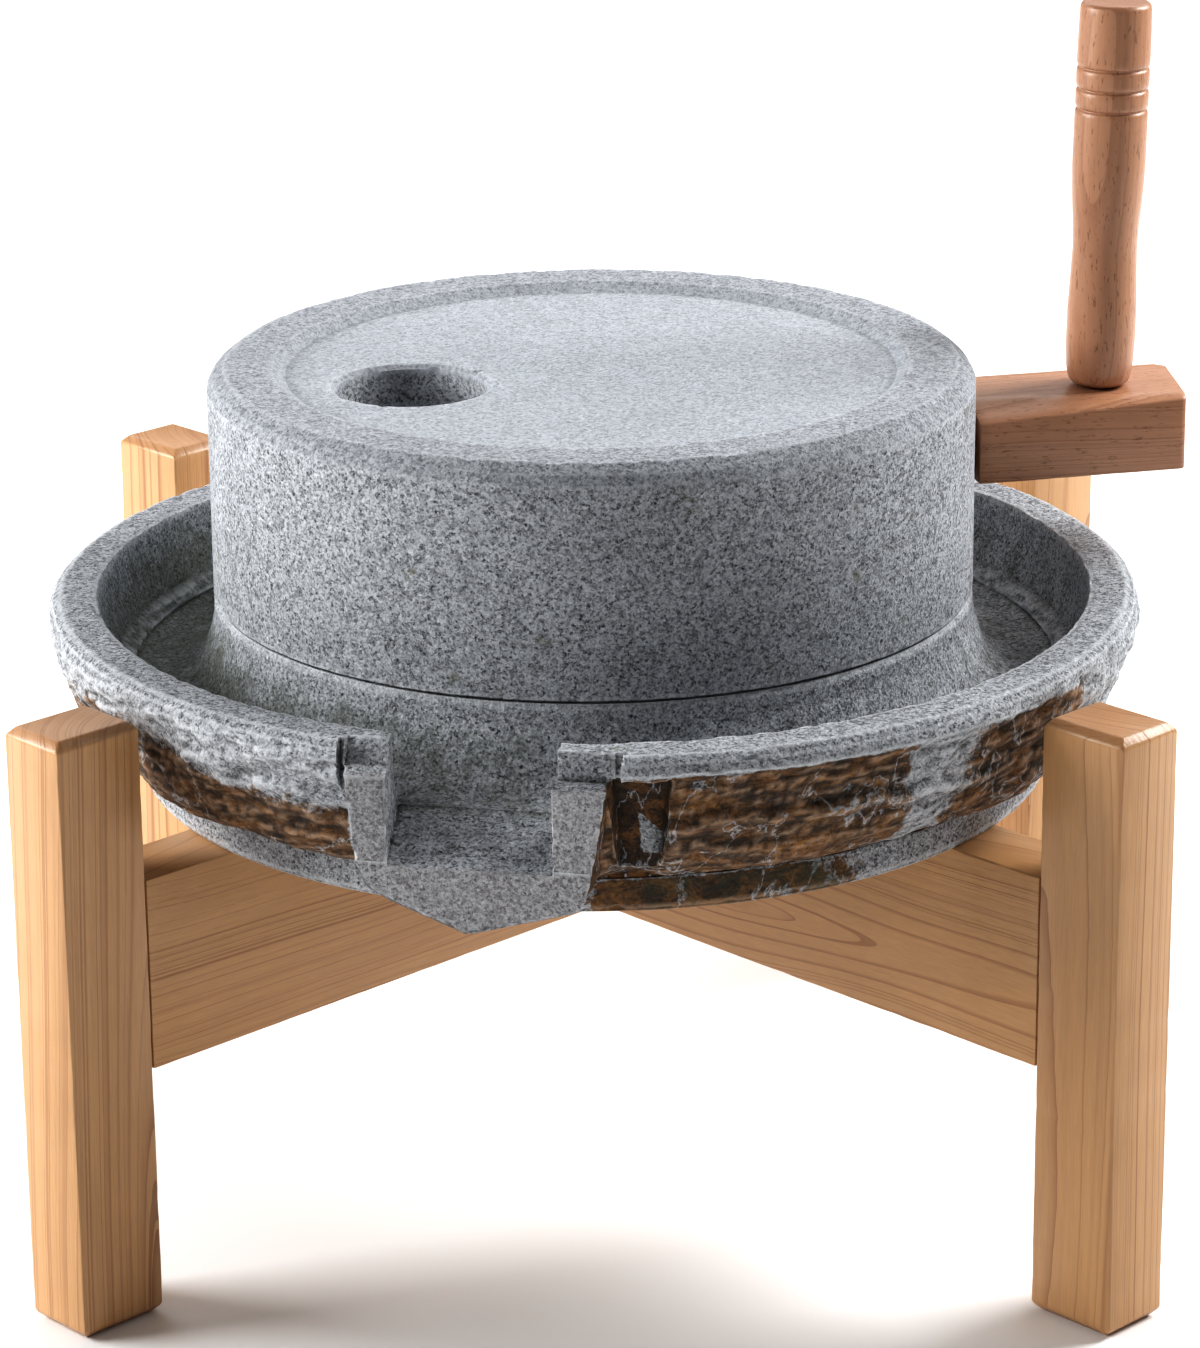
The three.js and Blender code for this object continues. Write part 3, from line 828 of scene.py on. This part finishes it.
def add_spout(stone):
    top = RIM_TOP - 2
    cheeks = prism(spout_outline(CHEEK_START, top), (SPOUT_FACE - CHEEK_START, 0, 0))
    keel = prism(spout_outline(KEEL_START, top), (SPOUT_FACE - KEEL_START, 0, 0))
    under = sawn_block((0, -60, 100), (BEYOND, 60, CHANNEL_FLOOR - 7))
    spout = carve(cheeks, carve(keel, under, "INTERSECT"), "UNION")
    half = KERF_WIDTH / 2
    kerfs = [
        sawn_block((LEDGE_BACK - 1, middle - half, 172), (BEYOND, middle + half, RIM_TOP + 2))
        for middle in (-SPOUT_HALF - 1 - half, SPOUT_HALF - 1 + half)
    ]
    fine_tools = (spout_opening(), over_ledges())
    tools = [turned_about_axis(slice_up(tool, 1.6), SPOUT_TURN) for tool in fine_tools]
    copies = [tool.copy() for tool in tools]
    tools += [turned_about_axis(slice_up(tool, 1.8), SPOUT_TURN) for tool in [broken_away()] + kerfs]
    for tool in tools:
        stone = carve(stone, tool, "DIFFERENCE")
    spout = turned_about_axis(slice_up(spout, 1.6), SPOUT_TURN)
    for tool in copies:
        spout = carve(spout, tool, "DIFFERENCE")
    return carve(stone, spout, "UNION")


tray = add_spout(blank)
print("tray with spout:", len(tray.verts), "vertices")

# %% [markdown]
# Now the whole tray weathers at once. Every face gets the fine unevenness of dressed stone, the
# channel gets the short scallops of a point chisel, and sharp edges lose small chips. The same
# pass writes the regions that the finish reads: rust, damp stain with painted shade, moss and
# sawn faces.

# %% Tray wear and regions
def in_channel(radius, height):
    return RUNNER_RADIUS - 2 < radius < RIM_INNER + 1 and CHANNEL_FLOOR - 9 < height < RIM_TOP - 0.8


def from_spout(angle, radius):
    """How far out along the spout a place is, and how far to its right."""
    turn = angle_between(angle, SPOUT_TURN)
    return radius * math.cos(turn), radius * math.sin(turn)


def tray_depth(vertex, sharp):
    place = vertex.co
    radius = math.hypot(place.x, place.y)
    if radius < RUNNER_RADIUS - 1 or place.z < FOOT_BOTTOM + 0.1:
        return 0
    angle = math.atan2(place.y, place.x)
    outwards, sideways = from_spout(angle, radius)
    depth = 0.10 + 0.10 * lump(place, 9) + 0.10 * lump(place, 2.6, 5)
    if in_channel(radius, place.z):
        strokes = Vector((angle * 9 + place.z / 14, radius / 4.5, place.z / 5))
        depth += 0.42 * max(0, 0.62 - noise.voronoi(strokes)[0][0])
    in_spout = RAMP_START - 12 < outwards < SPOUT_FACE - 0.6 and place.z < 183
    if in_spout and OPENING_LEFT - 4 < sideways < OPENING_RIGHT + 1:
        strike = Vector((outwards / 5, sideways / 9 + outwards / 16, 0))
        cells = noise.voronoi(strike)[0]
        depth += 1.1 * (0.5 - min(0.5, cells[1] - cells[0])) + 0.5 * (lump(place, 4, 9) + 0.6)
    under_the_band = outwards < SPOUT_FACE - 1 and FOOT_TOP + 1 < place.z < 199
    if under_the_band and OPENING_RIGHT < sideways < OPENING_RIGHT + 60:
        depth += 0.5 * (lump(place, 5, 13) + 0.5)
    edge = max(0, min(1, sharp * 2.5))
    depth += max(0, lump(place, 3.6, 7) + 0.05) * edge * 1.5 + 0.12 * edge
    depth += max(0, lump(place, 9, 11) - 0.2) * edge * 2.2
    return depth


def rust_here(angle, height, radius):
    """How strongly the joint in the rock stained this stretch of the hewn side."""
    turn = math.degrees(angle_between(angle, math.radians(-90)))
    down = (RIM_TOP - height) / (RIM_TOP - FOOT_TOP)
    if turn > 0:
        near_spout = swell(turn, -4, 2) * (1 - swell(turn, 30, 38))
        near_post = swell(turn, 38, 50) * (1 - swell(turn, 54, 66))
        below_rim = swell(down, 0.13, 0.17)
        return 1.25 * (near_spout + near_post) * below_rim + 0.25 * swell(down, 0.3, 0.9)
    side = swell(-turn, 18, 26) * (1 - swell(-turn, 62, 80))
    low = swell(down, 0.3, 0.7) * 0.85 + swell(-turn, 38, 50) * swell(down, 0.12, 0.35) * 0.6
    return side * low + 0.22 * swell(down, 0.3, 0.8)


def mark_regions(shape):
    """Writes where the finish of the tray finds rust, damp stain with painted shade, moss and sawn
    stone.
    """
    layers = shape.verts.layers.float
    rust, damp, moss, sawn = (layers.new(name) for name in ("rust", "damp", "moss", "sawn"))
    for vertex in shape.verts:
        place = vertex.co
        radius = math.hypot(place.x, place.y)
        angle = math.atan2(place.y, place.x)
        outwards, sideways = from_spout(angle, radius)
        at_spout = abs(sideways) < SPOUT_HALF + 3 and outwards > 150
        if at_spout:
            vertex[sawn] = 1 if outwards > SPOUT_FACE - 1 else 0
            inside = OPENING_LEFT - 3 < sideways < OPENING_RIGHT + 1
            mossy = 0.5 * swell(sideways, 34, 40) * swell(place.z, 176, 190)
            vertex[moss] = 0.40 if inside and place.z < 182 else mossy
            beside = sideways > 39 - 0.24 * max(0, 198 - place.z) - 0.6
            vertex[rust] = 1.0 if beside and outwards < SPOUT_FACE - 0.8 and place.z < 199 else 0
        elif in_channel(radius, place.z):
            # Olive damp stain with painted shade: stronger on the left, towards the back and low in the
            # channel.
            left = swell(-place.x, -40, 110)
            back = swell(place.y, -90, 60)
            vertex[damp] = 0.36 + 0.30 * left + 0.12 * back - 0.35 * swell(place.z, 190, 206)
            vertex[moss] = 0.30 if radius < 139 else 0.22
        elif radius > FOOT_RADIUS + 1:
            vertex[rust] = rust_here(angle, place.z, radius)
        elif place.z < FOOT_TOP:
            # The front of the foot ring is painted dark brown: rust stain and painted shadow under the
            # overhanging side.
            turn = math.degrees(angle_between(angle, math.radians(-90)))
            vertex[rust] = 0.95 * swell(turn, -3, 3) * (1 - swell(turn, 22, 42))
            vertex[damp] = 0.55 * swell(turn, -3, 3) * (1 - swell(turn, 26, 46))


mark_regions(tray)
weather(tray, tray_depth)
TRAY = set_down(tray, "bed_and_tray_hewn", "stand", "bed_and_tray", TRAY_FINISH)

# %% [markdown]
# The stand is sawn pine. Each post is a square-cut block with planed chamfers at both ends and
# softly eased corners. A little unevenness along the edges keeps them from looking machined.
# The grain runs up a post, and each post has its own pith, so no two match.

# %% Posts
POST_DEPTH = 32
POST_WIDTH = 26
POST_CHAMFER = 2.6
EASE = 0.7


def mark_ends(shape, way):
    end = shape.faces.layers.float.get("end_grain") or shape.faces.layers.float.new("end_grain")
    for face in shape.faces:
        face[end] = swell(abs(face.normal.dot(way)), 0.35, 0.75)
    return shape


def eased(shape, width, segments=2):
    sharp = [edge for edge in shape.edges if edge.calc_face_angle(0) > math.radians(25)]
    bmesh.ops.bevel(shape, geom=sharp, offset=width, offset_type="OFFSET", segments=segments,
                    profile=0.5, affect="EDGES", material=-1, clamp_overlap=True)
    return shape


def wood_wear(vertex, sharp):
    dents = max(0, lump(vertex.co, 5, 4)) * max(0, min(1, sharp * 2)) * 0.35
    return 0.05 + 0.05 * lump(vertex.co, 7) + dents


def post(node, degrees, pith_away, pith_turn, year, tilt):
    low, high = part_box(node)
    middle = (low + high) / 2
    tall = high.z * MILLIMETRES
    half = Vector((POST_DEPTH / 2, POST_WIDTH / 2, 0))
    shape = sawn_block((-half.x, -half.y, 0), (half.x, half.y, tall))
    ends = [edge for edge in shape.edges if abs(edge.verts[0].co.z - edge.verts[1].co.z) < 1]
    bmesh.ops.bevel(shape, geom=ends, offset=POST_CHAMFER, offset_type="OFFSET", segments=1,
                    profile=0.5, affect="EDGES", material=-1, clamp_overlap=True)
    eased(shape, EASE)
    slice_up(shape, 4, "Z")
    shape.normal_update()
    mark_ends(shape, Vector((0, 0, 1)))
    weather(shape, wood_wear)
    turned_about_axis(shape, math.radians(degrees))
    foot = Vector((middle.x, middle.y, 0))
    away = Vector((math.cos(math.radians(pith_turn)), math.sin(math.radians(pith_turn)), 0)) * pith_away
    lean = Euler((0, -math.pi / 2 + math.radians(tilt), math.radians(pith_turn)))
    heart = foot + away + Vector((0, 0, 0.1))
    finish = timber("pine_" + node, lean, heart, year, PINE_EARLY, PINE_LATE, waviness=0.0012)
    return set_down(shape, "post_" + node[4:], "stand", node, finish, foot)


POSTS = [
    post("leg_back_right", 45, 0.060, 120, 0.0031, 0.6),
    post("leg_back_left", 135, 0.055, 20, 0.0029, 0.4),
    post("leg_front_left", 225, 0.030, 350, 0.0060, 1.4),
    post("leg_front_right", 315, 0.075, 60, 0.0021, 0.15),
]

# %% [markdown]
# The two rails cross under the stone and are halved into each other: each has a slot half its
# depth. The slot is cut with a block, and the edges are eased afterwards. A board that was sawn
# a little off the pith's line shows the arched pattern that pine is liked for.

# %% Rails
RAIL_THICK = 26


def rail(node, degrees, slot_on_top, pith, tilt, year):
    low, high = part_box(node)
    middle = (low + high) / 2
    bottom, top = low.z * MILLIMETRES, high.z * MILLIMETRES
    spread = (high.x - low.x) * MILLIMETRES
    length = spread * math.sqrt(2) - RAIL_THICK
    half, slot, centre = RAIL_THICK / 2, RAIL_THICK / 2 + GAP, (bottom + top) / 2
    shape = sawn_block((-length / 2, -half, bottom), (length / 2, half, top))
    low_half, high_half = (bottom - 1, centre + GAP / 2), (centre - GAP / 2, top + 1)
    notch_low, notch_high = high_half if slot_on_top else low_half
    notch = sawn_block((-slot, -half - 1, notch_low), (slot, half + 1, notch_high))
    shape = carve(shape, notch, "DIFFERENCE")
    eased(shape, EASE)
    slice_up(shape, 5, "X")
    shape.normal_update()
    mark_ends(shape, Vector((1, 0, 0)))
    weather(shape, wood_wear)
    turned_about_axis(shape, math.radians(degrees))
    place = Vector((middle.x, middle.y, 0))
    side = Vector((-math.sin(math.radians(degrees)), math.cos(math.radians(degrees)), 0))
    heart = place + side * pith[0] + Vector((0, 0, pith[1]))
    turn = Euler((0, math.radians(tilt[0]), math.radians(degrees + tilt[1])))
    finish = timber("pine_" + node, turn, heart, year, PINE_EARLY, PINE_LATE, waviness=0.0045)
    return set_down(shape, "cross_" + node, "stand", node, finish, place)


RAILS = [
    rail("rail_left_to_back", 45, True, (0.034, 0.05), (1.0, 1.2), 0.0034),
    rail("rail_right_to_back", 135, False, (0.020, 0.10), (1.2, 4.0), 0.0048),
]

# %% [markdown]
# The handle is beech: a block let into the stone, and a turned grip that stands in it. Beech has
# hardly any rings to see; what shows is a pinkish tone and thousands of short dark flecks. The
# block's outer end is cut out of square, and its near top edge was planed to a bevel that dies
# out towards the end.

# %% Handle block
BLOCK_START = 126.3
BLOCK_END_NEAR = 198
BLOCK_END_FAR = 203.4
BLOCK_HALF_WIDTH = 20.3
BLOCK_CORNER = 3.4
BEVEL_DROP = 5.2
BEVEL_RUN = 14.5
BEVEL_TAPER = math.radians(8.7)
BEECH_EARLY = paint(188, 142, 112)
BEECH_LATE = paint(140, 94, 68)


def handle_block():
    bottom, top = (corner.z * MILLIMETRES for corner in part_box("handle_block"))
    near, far = -BLOCK_HALF_WIDTH, BLOCK_HALF_WIDTH
    corners = [
        (BLOCK_START, near), (BLOCK_END_NEAR - BLOCK_CORNER * 0.3, near),
        (BLOCK_END_NEAR, near + BLOCK_CORNER * 0.3),
        (BLOCK_END_FAR, far - BLOCK_CORNER), (BLOCK_END_FAR - BLOCK_CORNER, far), (BLOCK_START, far),
    ]
    shape = prism([(x, y, bottom) for x, y in corners], (0, 0, top - bottom))
    slope = BEVEL_DROP / BEVEL_RUN
    start = (-8, near - 2, top - BEVEL_DROP - 2 * slope)
    finish_line = (-8, near + BEVEL_RUN + 6, top + 6 * slope)
    corner = (-8, near - 2, top + 6 * slope)
    plane = prism([start, finish_line, corner], (BLOCK_END_FAR - BLOCK_START + 16, 0, 0))
    bmesh.ops.translate(plane, vec=(0, -near - BEVEL_RUN, 0), verts=plane.verts)
    turned_about_axis(plane, -BEVEL_TAPER)
    bmesh.ops.translate(plane, vec=(BLOCK_START, near + BEVEL_RUN, 0), verts=plane.verts)
    shape = carve(shape, plane, "DIFFERENCE")
    eased(shape, 0.8)
    slice_up(shape, 4, "XY")
    shape = carve(shape, tongue(0, (bottom + top) / 2), "UNION")
    shape.normal_update()
    mark_ends(shape, Vector((1, 0, 0)))
    weather(shape, wood_wear)
    turned_about_axis(shape, BLOCK_TURN)
    heart = MILL_AXIS + Vector((0.16, 0.0, (top + 40) / MILLIMETRES))
    wood = timber("beech_block", Euler((0, math.radians(2), BLOCK_TURN)), heart, 0.0052,
                  BEECH_EARLY, BEECH_LATE, line=2.2, fibre=0.08, fleck=0.55, contrast=0.5)
    return set_down(shape, "handle_block_planed", "runner", "handle_block", wood)


BLOCK = handle_block()

# %% [markdown]
# The grip was turned between centres: a rounded foot, a swell, a slight waist, and three ring
# cuts below the flat top. Those ring cuts are real grooves in the outline, because they catch
# the light. The grip leans outwards by a degree or so, as it was driven in.

# %% Handle grip
GRIP_FROM_AXIS = 173.6
GRIP_LENGTH = 128.6
GRIP_LEAN = math.radians(1.3)
RING_CUTS = (93.4, 100.1, 107.2)


def handle_grip():
    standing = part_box("handle_block")[1].z * MILLIMETRES + GAP
    outline = [
        (0, 0, 4), (8.2, 0, 0.8), (10, 1.4, 1.5), (11, 5, 2), (11.5, 14, 2), (11.5, 26, 2),
        (11, 37, 2), (10.65, 46, 2), (10.9, 54, 2), (11.6, 63, 2), (12.05, 74, 2), (12.05, 90, 2),
    ]
    for height in RING_CUTS:
        outline += [(12.02, height - 0.9, 0.4), (11.25, height - 0.1, 0.4), (11.25, height + 0.1, 0.4),
                    (12.02, height + 0.9, 1.6)]
    outline += [(11.9, 118, 2), (11.7, GRIP_LENGTH - 1.8, 0.5), (11.2, GRIP_LENGTH - 0.7, 0.5),
                (10.4, GRIP_LENGTH - 0.15, 0.5), (9.4, GRIP_LENGTH, 2.5), (0, GRIP_LENGTH, 1)]
    shape = lathe(softened(paced(outline), 1), 64)
    mark_ends(shape, Vector((0, 0, 1)))
    lean = Matrix.Rotation(GRIP_LEAN, 3, "Y")
    bmesh.ops.rotate(shape, cent=(0, 0, 0), matrix=lean, verts=shape.verts)
    place = Vector((GRIP_FROM_AXIS * math.cos(BLOCK_TURN), GRIP_FROM_AXIS * math.sin(BLOCK_TURN),
                    standing + 12 * math.sin(GRIP_LEAN)))
    bmesh.ops.translate(shape, vec=place, verts=shape.verts)
    weather(shape, lambda vertex, sharp: 0.03 + 0.03 * lump(vertex.co, 6))
    heart = MILL_AXIS + place / MILLIMETRES + Vector((0.02, 0.035, 0))
    wood = timber("beech_grip", Euler((0, -math.pi / 2 + GRIP_LEAN, 0)), heart, 0.0060,
                  BEECH_EARLY, BEECH_LATE, line=2.2, fibre=0.08, fleck=0.6, contrast=0.45)
    return set_down(shape, "handle_grip_turned", "runner", "handle_grip", wood, sharp_from=50)


GRIP = handle_grip()

# %% [markdown]
# The studio is plain: a pale floor that runs out of sight and a soft box on either side, because
# side light is what brings out hewn stone. A wide box far behind keeps the floor there as pale as
# it is in front, and a weak sky fills the shadows.

# %% Floor and light
FLOOR_HALF = 9.0
SKY = 0.2
AIM = Vector((0, 0, 0.17))


def soft_box(name, place, aim, size, power):
    data = bpy.data.lights.new(name, "AREA")
    data.shape = "RECTANGLE"
    data.size, data.size_y = size
    data.energy = power
    lamp = bpy.data.objects.new(name, data)
    lamp.location = place
    lamp.rotation_euler = (Vector(aim) - Vector(place)).to_track_quat("-Z", "Y").to_euler()
    bpy.context.scene.collection.objects.link(lamp)
    return lamp


def pale_floor():
    shape = bmesh.new()
    bmesh.ops.create_grid(shape, x_segments=8, y_segments=8, size=FLOOR_HALF)
    floor = as_object(shape, "studio_floor")
    finish = Finish("studio_floor")
    tone = finish.cloud(finish.place(), 2.0, 1)
    floor.data.materials.append(finish.close(finish.grey(tone * 0.01 + 0.93), tone * 0.05 + 0.9))
    return floor


def sky(strength):
    world = bpy.data.worlds.new("studio_air")
    world.use_nodes = True
    world.node_tree.nodes["Background"].inputs["Color"].default_value = (1, 1, 1, 1)
    world.node_tree.nodes["Background"].inputs["Strength"].default_value = strength
    bpy.context.scene.world = world


pale_floor()
sky(SKY)


def around(azimuth, elevation, distance):
    """A place seen from the middle of the mill; azimuth 0 is to the right and 90 is behind."""
    a, e = math.radians(azimuth), math.radians(elevation)
    return AIM + distance * Vector((math.cos(a) * math.cos(e), math.sin(a) * math.cos(e), math.sin(e)))


soft_box("box_left", around(184, 22, 1.5), AIM, (0.9, 0.8), 26)
soft_box("box_right", around(20, 36, 1.5), AIM, (0.7, 0.7), 25)
soft_box("box_behind", (0, 2.3, 1.7), (0, 2.1, 0), (4.5, 2.6), 56)
VIEW = bpy.context.scene.view_settings
VIEW.view_transform = "Standard"
VIEW.look = "High Contrast"
VIEW.exposure = -0.25

# %% Update the scene
bpy.context.view_layer.update()
